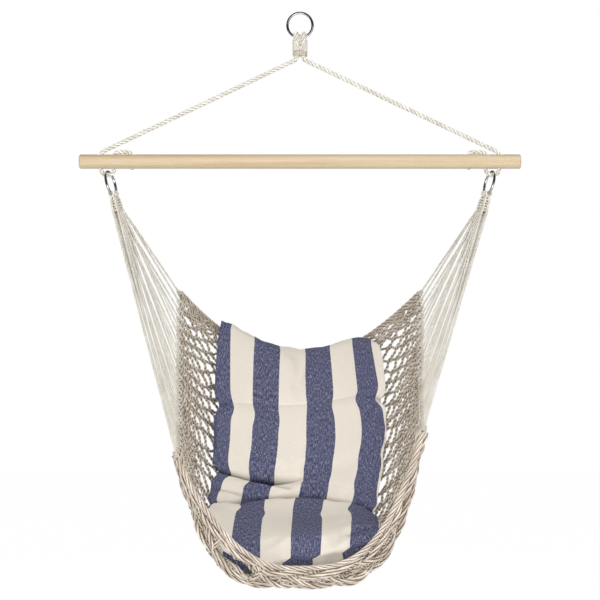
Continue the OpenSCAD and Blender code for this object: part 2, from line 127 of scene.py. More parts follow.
def centre_line(s):
    fold, seat, lip = s - BACK_LEN, s - BACK_LEN - FOLD_LEN, s - NET_LEN + LIP_LEN
    if fold < 0:
        return BACK_START + s * slope_dir(BACK_RAKE)
    if seat < 0:
        return FOLD_START + bend_step(FOLD_R, BACK_RAKE, heading(s))
    if lip < 0:
        return SEAT_START + seat * slope_dir(SEAT_SLOPE)
    return LIP_START + bend_step(LIP_R, SEAT_SLOPE, heading(s))


def inward(s):
    a = math.radians(heading(s))
    return np.array([-math.sin(a), math.cos(a)])


def hang(t):
    return -SEAT_HANG * ease((t - 0.4) / 0.3)


def bowl(v, side):
    back_to_seat = mix(mix(BACK_POWER, WAIST_POWER, ease(v / 0.3)), SEAT_POWER, ease((v - 0.35) / 0.3))
    lip = side * LIP_SKEW * ease((v - 0.6) / 0.35) - LIP_DRAW * ease((v - 0.86) / 0.14)
    return back_to_seat + lip - max(side, 0) * BACK_SKEW * (1 - ease(v / 0.3))


def side_edge(v, side):
    skew = side * EDGE_SKEW * v
    drop = mix(*EDGE_DROP, v) + 4 * EDGE_SAG * v * (1 - v)
    return np.array([side * mix(*EDGE_HALF, v), mix(*EDGE_Y, v), skew - BAR_DROP - drop])


def net_at(x, v):
    side = -1 if x < 0 else 1
    edge = side_edge(v, side)
    mid = centre_line(NET_LEN * (v - GATHER * math.sin(2 * math.pi * v) / (2 * math.pi)))
    w = abs(x) ** bowl(v, side)
    return np.array([abs(x) * edge[0] + hang(v) * (1 - x * x), mix(mid[0], edge[1], w), mix(mid[1], edge[2], w)])


ROW_SAMPLES = np.linspace(-1, 1, 81)
row_cache = {}


def sling(u, v):
    """Point at share u of the way across the row at v, both from 0 to 1."""
    v = round(min(max(v, 0), 1), 5)
    if v not in row_cache:
        points = np.array([net_at(x, v) for x in ROW_SAMPLES])
        lengths = np.concatenate([[0], np.cumsum(np.linalg.norm(np.diff(points, axis=0), axis=1))])
        row_cache[v] = lengths
    lengths = row_cache[v]
    return net_at(float(np.interp(u * lengths[-1], lengths, ROW_SAMPLES)), v)


def sling_normal(u, v):
    """Unit normal of the sling towards the sitter."""
    e = 0.004
    u, v = (min(max(share, e), 1 - e) for share in (u, v))
    across = sling(u + e, v) - sling(u - e, v)
    along = sling(u, v + e) - sling(u, v - e)
    return unit(np.cross(along, across))


# Twisted cord made along polylines
def socket_id(tree, name):
    return next(i.identifier for i in tree.interface.items_tree if i.in_out == "INPUT" and i.name == name)


def twisted_cord_tree():
    """Plies wound round each polyline of a mesh, each ply a tube."""
    tree = bpy.data.node_groups.new("twisted_cord", "GeometryNodeTree")
    face = tree.interface
    face.new_socket("Geometry", in_out="INPUT", socket_type="NodeSocketGeometry")
    for name, kind, value in (
        ("Plies", "NodeSocketInt", 3),
        ("Ply Radius", "NodeSocketFloat", 0.002),
        ("Ply Offset", "NodeSocketFloat", 0.002),
        ("Lay", "NodeSocketFloat", 0.03),
        ("Step", "NodeSocketFloat", 0.003),
        ("Sides", "NodeSocketInt", 6),
        ("Seed", "NodeSocketInt", SEED),
    ):
        face.new_socket(name, in_out="INPUT", socket_type=kind).default_value = value
    face.new_socket("Material", in_out="INPUT", socket_type="NodeSocketMaterial")
    face.new_socket("Geometry", in_out="OUTPUT", socket_type="NodeSocketGeometry")
    nodes, links = tree.nodes, tree.links
    given = nodes.new("NodeGroupInput").outputs
    result = nodes.new("NodeGroupOutput").inputs[0]

    def node(kind, **settings):
        made = nodes.new(kind)
        for key, value in settings.items():
            setattr(made, key, value)
        return made

    def math_node(operation, a, b=None):
        made = node("ShaderNodeMath", operation=operation)
        for place, value in enumerate((a, b)):
            if isinstance(value, (int, float)):
                made.inputs[place].default_value = value
            elif value is not None:
                links.new(value, made.inputs[place])
        return made.outputs[0]

    def scaled(vector, factor):
        made = node("ShaderNodeVectorMath", operation="SCALE")
        links.new(vector, made.inputs[0])
        links.new(factor, made.inputs["Scale"])
        return made.outputs[0]

    def stored(geometry, name, value, domain, kind="FLOAT"):
        made = node("GeometryNodeStoreNamedAttribute", data_type=kind, domain=domain)
        made.inputs["Name"].default_value = name
        links.new(geometry, made.inputs["Geometry"])
        links.new(value, made.inputs["Value"])
        return made.outputs[0]

    curve = node("GeometryNodeMeshToCurve")
    links.new(given["Geometry"], curve.inputs["Mesh"])
    smooth = node("GeometryNodeCurveSplineType", spline_type="CATMULL_ROM")
    links.new(curve.outputs[0], smooth.inputs["Curve"])
    even = node("GeometryNodeResampleCurve", mode="LENGTH")
    links.new(smooth.outputs[0], even.inputs["Curve"])
    links.new(given["Step"], even.inputs["Length"])
    plies = node("GeometryNodeDuplicateElements", domain="SPLINE")
    links.new(even.outputs[0], plies.inputs["Geometry"])
    links.new(given["Plies"], plies.inputs["Amount"])

    place = node("GeometryNodeSplineParameter").outputs["Length"]
    turn = math_node("MULTIPLY", math_node("DIVIDE", place, given["Lay"]), 2 * math.pi)
    share = math_node("DIVIDE", plies.outputs["Duplicate Index"], given["Plies"])
    angle = math_node("ADD", turn, math_node("MULTIPLY", share, 2 * math.pi))
    normal = node("GeometryNodeInputNormal").outputs["Normal"]
    tangent = node("GeometryNodeInputTangent").outputs["Tangent"]
    side = node("ShaderNodeVectorMath", operation="CROSS_PRODUCT")
    links.new(tangent, side.inputs[0])
    links.new(normal, side.inputs[1])
    out = node("ShaderNodeVectorMath", operation="ADD")
    links.new(scaled(normal, math_node("COSINE", angle)), out.inputs[0])
    links.new(scaled(side.outputs[0], math_node("SINE", angle)), out.inputs[1])
    ready = stored(plies.outputs["Geometry"], "outward", out.outputs[0], "POINT", "FLOAT_VECTOR")
    spread = node("GeometryNodeSetPosition")
    links.new(ready, spread.inputs["Geometry"])
    links.new(scaled(out.outputs[0], given["Ply Offset"]), spread.inputs["Offset"])

    tone = node("FunctionNodeRandomValue", data_type="FLOAT")
    links.new(given["Seed"], tone.inputs["Seed"])
    tone_out = next(o for o in tone.outputs if o.enabled)
    marked = stored(spread.outputs[0], "along", place, "POINT")
    marked = stored(marked, "tone", tone_out, "CURVE")
    profile = node("GeometryNodeCurvePrimitiveCircle")
    links.new(given["Sides"], profile.inputs["Resolution"])
    links.new(given["Ply Radius"], profile.inputs["Radius"])
    tube = node("GeometryNodeCurveToMesh")
    links.new(marked, tube.inputs["Curve"])
    links.new(profile.outputs["Curve"], tube.inputs["Profile Curve"])
    tube.inputs["Fill Caps"].default_value = True
    # Which way each point of a ply faces from the cord's middle, kept for painted shade in the grooves
    outward = node("GeometryNodeInputNamedAttribute", data_type="FLOAT_VECTOR")
    outward.inputs["Name"].default_value = "outward"
    facing = node("ShaderNodeVectorMath", operation="DOT_PRODUCT")
    links.new(outward.outputs["Attribute"], facing.inputs[0])
    links.new(node("GeometryNodeInputNormal").outputs["Normal"], facing.inputs[1])
    grooved = stored(tube.outputs[0], "groove_shade", facing.outputs["Value"], "POINT")
    soft = node("GeometryNodeSetShadeSmooth")
    links.new(grooved, soft.inputs["Geometry"])
    whole = node("GeometryNodeRealizeInstances")
    links.new(soft.outputs[0], whole.inputs["Geometry"])
    dressed = node("GeometryNodeSetMaterial")
    links.new(whole.outputs[0], dressed.inputs["Geometry"])
    links.new(given["Material"], dressed.inputs["Material"])
    links.new(dressed.outputs[0], result)
    return tree


CORD_TREE = twisted_cord_tree()
# Number of plies, radius of a ply, its distance from the cord's middle, length of a turn,
# step between points along it, and number of sides of a ply
Twist = namedtuple("Twist", "plies radius offset lay step sides")


def polyline_object(name, paths):
    """A mesh of loose edges, one chain for each path, from points in millimetres."""
    points, edges = [], []
    for path in paths:
        first = len(points)
        points += [tuple(float(c) * MM for c in p) for p in path]
        edges += [(first + k, first + k + 1) for k in range(len(path) - 1)]
    mesh = bpy.data.meshes.new(name)
    mesh.from_pydata(points, edges, [])
    made = bpy.data.objects.new(name, mesh)
    bpy.context.scene.collection.objects.link(made)
    return made


def plain_mesh(made):
    """The object with its modifiers' result as its own mesh."""
    graph = bpy.context.evaluated_depsgraph_get()
    graph.update()
    mesh = bpy.data.meshes.new_from_object(made.evaluated_get(graph), preserve_all_data_layers=True, depsgraph=graph)
    made.modifiers.clear()
    made.data = mesh
    return made


def wound(name, paths, material, twist, seed=SEED):
    """Twisted cord along each path. The twist is in millimetres."""
    made = polyline_object(name, paths)
    modifier = made.modifiers.new("wound", "NODES")
    modifier.node_group = CORD_TREE
    for key, value in (
        ("Plies", twist.plies),
        ("Ply Radius", twist.radius * MM),
        ("Ply Offset", twist.offset * MM),
        ("Lay", twist.lay * MM),
        ("Step", twist.step * MM),
        ("Sides", twist.sides),
        ("Seed", seed),
        ("Material", material),
    ):
        modifier[socket_id(CORD_TREE, key)] = value
    return plain_mesh(made)


def joined(name, pieces):
    """One mesh object from several."""
    with bpy.context.temp_override(
        active_object=pieces[0], selected_editable_objects=pieces, selected_objects=pieces, object=pieces[0]
    ):
        bpy.ops.object.join()
    pieces[0].name = name
    return pieces[0]


# Materials
def srgb(r, g, b):
    def linear(c):
        c /= 255
        return c / 12.92 if c <= 0.04045 else ((c + 0.055) / 1.055) ** 2.4

    return (linear(r), linear(g), linear(b), 1)


class Finish:
    """A material with its shader, and helpers that wire nodes in few words."""

    def __init__(self, name):
        self.material = bpy.data.materials.new(name)
        self.material.use_nodes = True
        self.nodes = self.material.node_tree.nodes
        self.links = self.material.node_tree.links
        self.shader = self.nodes["Principled BSDF"]

    def node(self, kind, **settings):
        made = self.nodes.new(kind)
        for key, value in settings.items():
            setattr(made, key, value)
        return made

    def put(self, socket, value):
        if isinstance(value, bpy.types.NodeSocket):
            self.links.new(value, socket)
        else:
            socket.default_value = value

    def set(self, **values):
        for key, value in values.items():
            self.put(self.shader.inputs[key.replace("_", " ")], value)

    def object_coords(self, scale=(1, 1, 1)):
        coords = self.node("ShaderNodeTexCoord")
        mapping = self.node("ShaderNodeMapping")
        mapping.inputs["Scale"].default_value = scale
        self.links.new(coords.outputs["Object"], mapping.inputs["Vector"])
        return mapping.outputs[0]

    def attribute(self, name):
        return self.node("ShaderNodeAttribute", attribute_name=name).outputs["Fac"]

    def math(self, operation, a, b=0.0, clamp=False):
        made = self.node("ShaderNodeMath", operation=operation, use_clamp=clamp)
        self.put(made.inputs[0], a)
        self.put(made.inputs[1], b)
        return made.outputs[0]

    def noise(self, vector, scale, detail=3, rough=0.6):
        made = self.node("ShaderNodeTexNoise")
        self.put(made.inputs["Vector"], vector)
        made.inputs["Scale"].default_value = scale
        made.inputs["Detail"].default_value = detail
        made.inputs["Roughness"].default_value = rough
        return made.outputs["Fac"]

    def ramp(self, factor, *stops):
        made = self.node("ShaderNodeValToRGB")
        self.put(made.inputs["Fac"], factor)
        elements = made.color_ramp.elements
        while len(elements) < len(stops):
            elements.new(0.5)
        for element, (place, colour) in zip(elements, stops):
            element.position = place
            element.color = colour
        return made.outputs["Color"]

    def blend(self, factor, a, b, mode="MIX"):
        made = self.node("ShaderNodeMix", data_type="RGBA", blend_type=mode)
        self.put(made.inputs["Factor"], factor)
        self.put(made.inputs[6], a)
        self.put(made.inputs[7], b)
        return made.outputs[2]

    def vector(self, x, y, z=0.0):
        made = self.node("ShaderNodeCombineXYZ")
        for socket, value in zip(made.inputs, (x, y, z)):
            self.put(socket, value)
        return made.outputs[0]

    def bump(self, height, distance, strength=1.0, under=None):
        made = self.node("ShaderNodeBump")
        made.inputs["Distance"].default_value = distance
        made.inputs["Strength"].default_value = strength
        self.put(made.inputs["Height"], height)
        if under is not None:
            self.put(made.inputs["Normal"], under)
        return made.outputs[0]


def cotton(name, light, tan, groove_shade=srgb(186, 179, 167)):
    """Undyed cotton: fibres along the ply, tan specks, painted shade in the grooves between plies, and plies that
    differ a little.
    """
    f = Finish(name)
    coords = f.object_coords()
    fibres = f.noise(f.object_coords((900, 900, 900)), 1.0, 4, 0.7)
    patches = f.noise(coords, 38, 3)
    specks = f.noise(coords, 420, 2)
    colour = f.ramp(patches, (0.32, tan), (0.68, light))
    colour = f.blend(f.math("MULTIPLY", fibres, 0.35), colour, tan)
    shade = f.math("ADD", f.math("MULTIPLY", f.attribute("tone"), 0.16), 0.88)
    colour = f.blend(1.0, colour, f.vector(shade, shade, shade), "MULTIPLY")
    # Painted shade: ply sides that face the cord's middle are darkened towards the groove colour
    crown = f.math("DIVIDE", f.math("ADD", f.attribute("groove_shade"), 0.3), 0.85, clamp=True)
    colour = f.blend(1.0, colour, f.ramp(crown, (0.0, groove_shade), (1.0, (1, 1, 1, 1))), "MULTIPLY")
    dark_speck = f.math("GREATER_THAN", specks, 0.74)
    colour = f.blend(f.math("MULTIPLY", dark_speck, 0.35), colour, srgb(140, 112, 84))
    f.set(Base_Color=colour, Roughness=0.92, Sheen_Weight=0.1, Sheen_Roughness=0.6)
    f.shader.inputs["Specular IOR Level"].default_value = 0.2
    f.set(Normal=f.bump(fibres, 0.0006, 0.7))
    return f.material


def pale_wood():
    """Sanded pale dowel with long grain, fine pores and rings on its ends."""
    f = Finish("pale_wood")
    waves = f.noise(f.object_coords((1.6, 130, 130)), 1.0, 4, 0.55)
    figure = f.noise(f.object_coords((4, 330, 330)), 1.0, 3, 0.6)
    pores = f.noise(f.object_coords((16, 900, 900)), 1.0, 3, 0.6)
    colour = f.ramp(waves, (0.3, srgb(183, 159, 126)), (0.48, srgb(199, 181, 150)), (0.7, srgb(212, 200, 173)))
    colour = f.blend(f.math("MULTIPLY", figure, 0.5), colour, srgb(196, 172, 137))
    colour = f.blend(f.math("MULTIPLY", f.math("GREATER_THAN", pores, 0.6), 0.3), colour, srgb(178, 140, 98))
    f.set(Base_Color=colour, Roughness=f.math("ADD", f.math("MULTIPLY", figure, 0.2), 0.36))
    f.set(Normal=f.bump(pores, 0.0003, 0.35))
    return f.material


def plated_wire():
    """Bright plating with fine drawn lines and a few dull patches."""
    f = Finish("plated_wire")
    dull = f.noise(f.object_coords((60, 60, 60)), 1.0, 3)
    lines = f.noise(f.object_coords((900, 140, 900)), 1.0, 2)
    f.set(Base_Color=f.ramp(dull, (0.35, srgb(190, 188, 186)), (0.7, srgb(226, 226, 226))), Metallic=1.0)
    f.set(Roughness=f.math("ADD", f.math("MULTIPLY", dull, 0.08), 0.03))
    f.set(Normal=f.bump(lines, 0.0002, 0.12))
    return f.material


# Width of a stripe in metres, and the weave as an angle per metre
STRIPE = 0.0525
THREADS = 5200


def striped_cloth():
    """Plain weave with broad stripes of blue chambray and cream along the cushion, with painted shade in its folds.
    """
    f = Finish("striped_cloth")
    across, along = f.attribute("across"), f.attribute("along")
    weave = f.vector(across, along)
    wander = f.math("MULTIPLY", f.math("SUBTRACT", f.noise(weave, 300, 2), 0.5), 0.0012)
    place = f.math("ADD", f.math("DIVIDE", f.math("ADD", across, wander), 2 * STRIPE), 20)
    blue_here = f.math("LESS_THAN", f.math("FRACT", place), 0.5)
    weft = f.noise(f.vector(f.math("MULTIPLY", across, 150), f.math("MULTIPLY", along, 640)), 1.0, 2, 0.6)
    warp = f.noise(f.vector(f.math("MULTIPLY", across, 640), f.math("MULTIPLY", along, 120)), 1.0, 2, 0.6)
    flecks = f.math("ADD", f.math("MULTIPLY", weft, 0.35), f.math("MULTIPLY", warp, 0.65))
    blue = f.ramp(flecks, (0.36, srgb(47, 49, 81)), (0.5, srgb(82, 84, 113)), (0.66, srgb(160, 162, 178)))
    cream = f.ramp(flecks, (0.35, srgb(229, 221, 209)), (0.55, srgb(234, 227, 215)), (0.7, srgb(238, 232, 222)))
    worn = f.noise(f.object_coords(), 9, 3)
    blue = f.blend(f.math("MULTIPLY", worn, 0.22), blue, srgb(90, 94, 126))
    cream = f.blend(f.math("MULTIPLY", worn, 0.2), cream, srgb(222, 208, 190))
    # Painted shade: the cloth is darkened where the fold attribute marks a crease or pleat
    shade = f.ramp(f.attribute("fold"), (0.12, (1, 1, 1, 1)), (0.8, srgb(112, 106, 104)))
    colour = f.blend(1.0, f.blend(blue_here, cream, blue), shade, "MULTIPLY")
    f.set(Base_Color=colour, Roughness=0.94, Sheen_Weight=0.04, Sheen_Roughness=0.5)
    f.shader.inputs["Specular IOR Level"].default_value = 0.15
    warp_wave, weft_wave = (f.math("SINE", f.math("MULTIPLY", way, THREADS)) for way in (across, along))
    threads = f.math("MULTIPLY", warp_wave, weft_wave)
    crumple = f.noise(f.object_coords(), 70, 3)
    f.set(Normal=f.bump(threads, 0.0003, 0.3, f.bump(crumple, 0.003, 0.22)))
    return f.material


ROPE = cotton("hanger_rope_cotton", srgb(240, 238, 231), srgb(216, 211, 200))
CORD = cotton("cord_cotton", srgb(241, 239, 232), srgb(216, 209, 196))
# The net and rim cotton have a darker painted shade in their grooves
MESH = cotton("net_cotton", srgb(232, 224, 212), srgb(184, 171, 153), srgb(142, 128, 112))
RIM = cotton("rim_cotton", srgb(233, 223, 211), srgb(196, 181, 165), srgb(134, 119, 105))
TWINE = cotton("twine_cotton", srgb(238, 232, 219), srgb(208, 198, 178))
WOOD = pale_wood()
STEEL = plated_wire()
CLOTH = striped_cloth()

for name, finish in (("top_ring", STEEL), ("left_ring", STEEL), ("right_ring", STEEL), ("spreader_bar", WOOD)):
    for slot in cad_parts[name].material_slots:
        slot.material = finish


def dress(piece, body, slot, *nodes):
    """A finished piece rides on its body and stands for its solids. The slot is not used."""
    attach(piece, body)
    if nodes:
        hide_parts(*nodes)


# Hanger ropes
HANGER_TWIST = Twist(3, 2.05, 2.15, 26, 2.2, 8)
SPLICE_TWIST = Twist(2, 0.85, 0.7, 7, 1.4, 6)
SEIZING_TWIST = Twist(2, 0.72, 0.6, 6, 1.0, 6)
LASHING_TWIST = Twist(2, 0.9, 0.7, 7, 1.2, 6)
EYE_TWIST = Twist(2, 0.8, 0.7, 7, 1.2, 6)
SPLICE_BEND, MOUTH_BEND, ARCH_R = 9, 10, 8
TURN_STEPS = 24
BAR_TOP, BAR_BOTTOM = BAR_R - BAR_DROP, -BAR_R - BAR_DROP
LOOP_X, LOOP_R = (OUTER_X + MIDDLE_X) / 2, (OUTER_X - MIDDLE_X) / 2
ARCH_Z, MOUTH_Z = BAR_TOP + ROPE_R + 0.3, BAR_TOP - 3


def leg_angle():
    a = math.radians(25)
    for _ in range(4):
        x0 = SPLICE_X + SPLICE_BEND * (1 - math.sin(a))
        z0 = SPLICE_END - SPLICE_BEND * math.cos(a)
        x1 = OUTER_X - MOUTH_BEND * (1 - math.sin(a))
        z1 = MOUTH_Z + MOUTH_BEND * math.cos(a)
        a = math.atan2(z0 - z1, x1 - x0)
    return math.degrees(a)


def arc(centre, r, u, w, a0, a1, n):
    """Points on an arc from a0 to a1 degrees, with u and w its first two directions."""
    centre, u, w = (np.asarray(c, float) for c in (centre, u, w))
    turns = [math.radians(mix(a0, a1, k / n)) for k in range(n + 1)]
    return [centre + r * (math.cos(a) * u + math.sin(a) * w) for a in turns]


def hanger_route():
    x, z, top = (1, 0, 0), (0, 0, 1), SPLICE_X
    lean = 90 - leg_angle()
    left, down = (-1, 0, 0), (0, 0, -1)
    leg_in = arc((top + SPLICE_BEND, 0, SPLICE_END), SPLICE_BEND, left, down, 0, lean, 4)
    leg_out = arc((OUTER_X - MOUTH_BEND, 0, MOUTH_Z), MOUTH_BEND, x, z, lean, 0, 4)
    leg = [mix(leg_in[-1], leg_out[0], k / 12) for k in range(1, 12)]
    return (
        [np.array([top, SPLICE_R + 1.2, EYE_Z - 20]), np.array([top, EYE_R + 0.4, EYE_Z - 10])]
        + arc((top, 0, EYE_Z), EYE_R, (0, 1, 0), z, 0, 180, 8)
        + [np.array([top, y, EYE_Z - d]) for y, d in ((-4.2, 9), (-1, 18), (0, 24))]
        + leg_in
        + leg
        + leg_out
        + arc((LOOP_X, 0, BAR_BOTTOM), LOOP_R, x, down, 0, 180, 10)
        + arc((MIDDLE_X - ARCH_R, 0, ARCH_Z - ARCH_R), ARCH_R, x, z, 0, 90, 4)
        + arc((INNER_X + ARCH_R, 0, ARCH_Z - ARCH_R), ARCH_R, left, z, 90, 0, 4)
        + [np.array([INNER_X, 0, BAR_BOTTOM - 1])]
    )


def mirrored(path, side):
    return [np.array([side * p[0], p[1], p[2]]) for p in path]


ROUTE = hanger_route()


def splice_paths(x0):
    """Tucked strands of a splice: four wind each way, over and under."""
    top, low = EYE_Z - 6, SPLICE_END - 1
    paths = []
    for way in (-1, 1):
        for k in range(4):
            path = []
            for n in range(25):
                t = n / 24
                a = 2 * math.pi * (k / 4 + way * 0.85 * t)
                r = 3.9 + 0.65 * way * math.cos(4 * a)
                squeeze = mix(1.0, 0.94, t)
                path.append(np.array([x0 + r * squeeze * math.cos(a), r * math.sin(a), mix(top, low, t)]))
            paths.append(path)
    return paths


for side, word in ((-1, "left"), (1, "right")):
    rope = wound(f"{word}_hanger_rope_laid", [mirrored(ROUTE, side)], ROPE, HANGER_TWIST)
    splice = wound(f"{word}_splice", splice_paths(side * SPLICE_X), ROPE, SPLICE_TWIST)
    rope = joined(f"{word}_hanger_rope_laid", [rope, splice])
    dress(rope, "hanger", "hanger_cotton", f"{word}_hanger_rope")


def seizing_path():
    """Twine wound round both splices in a long oval."""
    r, path = SPLICE_R + 1.2, []
    for n in range(TURN_STEPS * 3 + 1):
        a = 2 * math.pi * n / TURN_STEPS
        x = SPLICE_X * max(-1, min(1, 1.6 * math.cos(a)))
        path.append(np.array([x + r * math.cos(a), r * math.sin(a), SPLICE_END + 0.6 + 2.3 * n / TURN_STEPS]))
    return path


def lashing_path():
    """Strand woven round both splices in figures of eight, from the eyes down to the twine."""
    turns, top, low = 9, EYE_Z - 5, SPLICE_END + 9
    across, through = SPLICE_X + SPLICE_R + 1.1, SPLICE_R + 1.8
    path = []
    steps = TURN_STEPS * turns
    for n in range(steps + 1):
        a = 2 * math.pi * n / TURN_STEPS
        path.append(np.array([across * math.cos(a), through * math.sin(2 * a), mix(top, low, n / steps)]))
    return path


def eye_turns():
    """Strands of the bundle that pass over the ring's wire, next to the eyes."""
    r, paths = WIRE_R + 2.9, []
    for x in (-10.8, -8.4, -3.4, -1.1, 1.1, 3.4, 8.4, 10.8):
        z = -math.sqrt(RING_R**2 - x * x)
        over = arc((x, 0, z), r, (0, 1, 0), (0, 0, 1), 0, 180, 8)
        paths.append([np.array([x, r, z - 12]), *over, np.array([x, -r, z - 12])])
    return paths


seizing = wound("top_seizing_twine", [seizing_path()], TWINE, SEIZING_TWIST)
lashing = wound("top_lashing", [lashing_path()], ROPE, LASHING_TWIST)
turns = wound("top_eye_turns", eye_turns(), ROPE, EYE_TWIST)
seizing = joined("top_seizing_twine", [seizing, lashing, turns])
dress(seizing, "hanger", "twine_cotton", "top_seizing")

# Clews: cords looped over a side ring, woven together below it
LOOP_TWIST = Twist(3, 1.0, 1.02, 13, 1.6, 6)
BAND_TWIST = Twist(2, 1.15, 1.0, 9, 1.5, 6)
CORD_TWIST = Twist(3, 0.98, 1.0, 14, 2.2, 5)
TIE_TWIST = Twist(2, 0.85, 0.65, 7, 1.4, 5)
LEAN = math.radians(RING_LEAN)
RING_DOWN = np.array([-math.sin(LEAN), 0, -math.cos(LEAN)])
LEAN_OUT = np.array([math.cos(LEAN), 0, -math.sin(LEAN)])
TURN = math.radians(RING_TURN)
HEAD_ACROSS = math.cos(TURN) * np.array([0, 1, 0]) - math.sin(TURN) * LEAN_OUT
HEAD_OUT = math.cos(TURN) * LEAN_OUT + math.sin(TURN) * np.array([0, 1, 0])
RING_AT = np.array([LOOP_X, 0, BAR_BOTTOM - LOOP_R + ROPE_R + WIRE_R + 0.6]) + RING_R * RING_DOWN
HEAD_FOOT = RING_R + CLEW_LEN
CORD_PITCH = (CLEW_W - 2 * CORD_R - 0.6) / (CORDS - 1)
CORD_STAGGER = (CLEW_T - 2 * CORD_R - 0.6) / 2
WIRE_WRAP = WIRE_R + 0.4 + 1.9
# Degrees each way from the ring's lowest point over which the loops lie
LOOP_SPREAD = 33


def head_point(y, down, out):
    """Point of a clew head: y across it, down from the ring's centre, out of its plane."""
    return RING_AT + y * HEAD_ACROSS + down * RING_DOWN + out * HEAD_OUT


def cord_root(k):
    y = CLEW_W / 2 - CORD_R - 0.3 - CORD_PITCH * (k - 1)
    return y, (1 if k % 2 == 0 else -1) * CORD_STAGGER


def clew_loops():
    """Each pair of neighbouring cords is one cord that passes over the wire."""
    paths = []
    for k in range(1, CORDS, 2):
        (y0, out0), (y1, out1) = cord_root(k), cord_root(k + 1)
        a = math.radians(mix(LOOP_SPREAD, -LOOP_SPREAD, (k - 1) / (CORDS - 2)))
        ring_y = RING_R * math.sin(a)
        ring_down = RING_R * math.cos(a)
        path = [head_point(y0, HEAD_FOOT + 6, out0), head_point(y0, HEAD_FOOT - 6, out0 * 0.9)]
        path.append(head_point(mix(y0, ring_y, 0.7), ring_down + 12, out0 * 0.95))
        for n in range(7):
            turn = math.radians(mix(-70, 250, n / 6))
            out = math.copysign(1, out0) * WIRE_WRAP * math.cos(turn)
            path.append(head_point(ring_y, ring_down - WIRE_WRAP * math.sin(turn), out))
        path.append(head_point(mix(y1, ring_y, 0.7), ring_down + 12, out1 * 0.95))
        path += [head_point(y1, HEAD_FOOT - 6, out1 * 0.9), head_point(y1, HEAD_FOOT + 6, out1)]
        paths.append(path)
    return paths


def clew_bands():
    """Cords woven across the head in rows, over one loop and under the next, round both sides."""
    paths = []
    for row in range(5):
        down = RING_R + 7.5 + 4.9 * row
        half = mix(13.5, CLEW_W / 2 - 1, (row + 1) / 6)
        path = []
        for n in range(49):
            a = 2 * math.pi * n / 48
            ripple = 0.9 * math.cos(12 * a + math.pi * (row % 2))
            path.append(head_point(half * math.sin(a), down, (CORD_STAGGER + 1.6 + ripple) * math.cos(a)))
        paths.append(path)
    return paths


for side, word in ((-1, "left"), (1, "right")):
    loops = wound(f"{word}_clew_loops", [mirrored(p, side) for p in clew_loops()], CORD, LOOP_TWIST)
    bands = wound(f"{word}_clew_bands", [mirrored(p, side) for p in clew_bands()], CORD, BAND_TWIST)
    dress(joined(f"{word}_clew_weave", [loops, bands]), "seat", "clew_cotton", f"{word}_clew")


# Clew cords: two legs each, tied to two knots of the net's edge
def tie_path(start, end):
    """Turns of the cord's end round itself next to the net."""
    way = unit(end - start)
    across = unit(np.cross(way, [0.3, 1, 0.1]))
    up = np.cross(way, across)
    path = []
    for n in range(31):
        a = 2 * math.pi * n / 10
        path.append(end - way * mix(KNOT_LEN, 0.5, n / 30) + 2.9 * (math.cos(a) * across + math.sin(a) * up))
    return path


def edge_loop(point, way, normal):
    """A small loop of cord round the two strands that meet at an edge knot."""
    across = unit(np.cross(way, normal))
    return [
        point - way * 1.5 + 4.2 * (math.cos(a) * way + math.sin(a) * normal) + 0.6 * math.sin(a / 2) * across
        for a in np.linspace(math.pi * 0.9, -math.pi * 0.9, 11)
    ]


for side, word in ((-1, "left"), (1, "right")):
    for k in range(1, CORDS + 1):
        y, out = cord_root(k)
        root = mirrored([head_point(y, HEAD_FOOT - 3, out)], side)[0]
        legs, ties = [], []
        for leg in (0, 1):
            row = (4 * (k - 1) + 2 * leg) / NET_ROWS
            knot = sling(0 if side < 0 else 1, row)
            way = unit(knot - root)
            end = knot - way * (STRAND_R - 0.5)
            legs.append([mix(root, end, n / 8) for n in range(9)])
            ties.append(tie_path(root, knot - way * 2.2))
            ties.append(edge_loop(knot, way, sling_normal(0 if side < 0 else 1, row)))
        laid = wound(f"{word}_cord_{k:02d}_laid", legs, CORD, CORD_TWIST, SEED + k)
        tied = wound(f"{word}_cord_{k:02d}_tie", ties, CORD, TIE_TWIST, SEED + k)
        dress(joined(f"{word}_cord_{k:02d}_laid", [laid, tied]), "seat", "clew_cotton", f"{word}_cord_{k:02d}")

# Net: zigzag strands that hook into their neighbours. Near the lip they part round a gap, given as shares u, v.
GAP_AT, GAP_HALF, GAP_REACH = (0.3, 0.958), (0.065, 0.016), 2.6
HOOK = 0.16
HOOK_PLACES = ((-0.36, 0), (-0.13, 1), (0, 0), (0.13, -1), (0.36, 0))
MESH_R = 2.3
NET_TWIST = Twist(2, 1.65, 1.4, 17, 2.6, 5)
BORDER_TWIST = Twist(4, 1.75, 2.5, 52, 2.6, 7)
RIM_TWIST = Twist(3, 2.0, 2.1, 64, 2.6, 6)
TOP_TWIST = Twist(2, 1.6, 1.4, 17, 2.6, 6)
SLACK, BUNCHING = 0.035, 5
rng = np.random.default_rng(SEED)
slack = rng.normal(0, 1, (NET_ROWS + 1, NET_COLS + 1, 2))
NEAR = (-1, 0, 1)
bunch = sum(np.roll(slack, (a, b), (0, 1)) for a in NEAR for b in NEAR) / 3
slack = slack + BUNCHING * bunch


def parted(u, v, above):
    """Place v of a strand that passes above or below the gap at the left of the lip."""
    (mid_u, mid_v), (half_u, half_v) = GAP_AT, GAP_HALF
    a, b = (u - mid_u) / half_u, abs(v - mid_v) / half_v
    if abs(a) >= 1 or b >= GAP_REACH:
        return v
    lid = math.sqrt(1 - a * a)
    return mid_v + (half_v if above else -half_v) * (lid + b * (GAP_REACH - lid) / GAP_REACH)


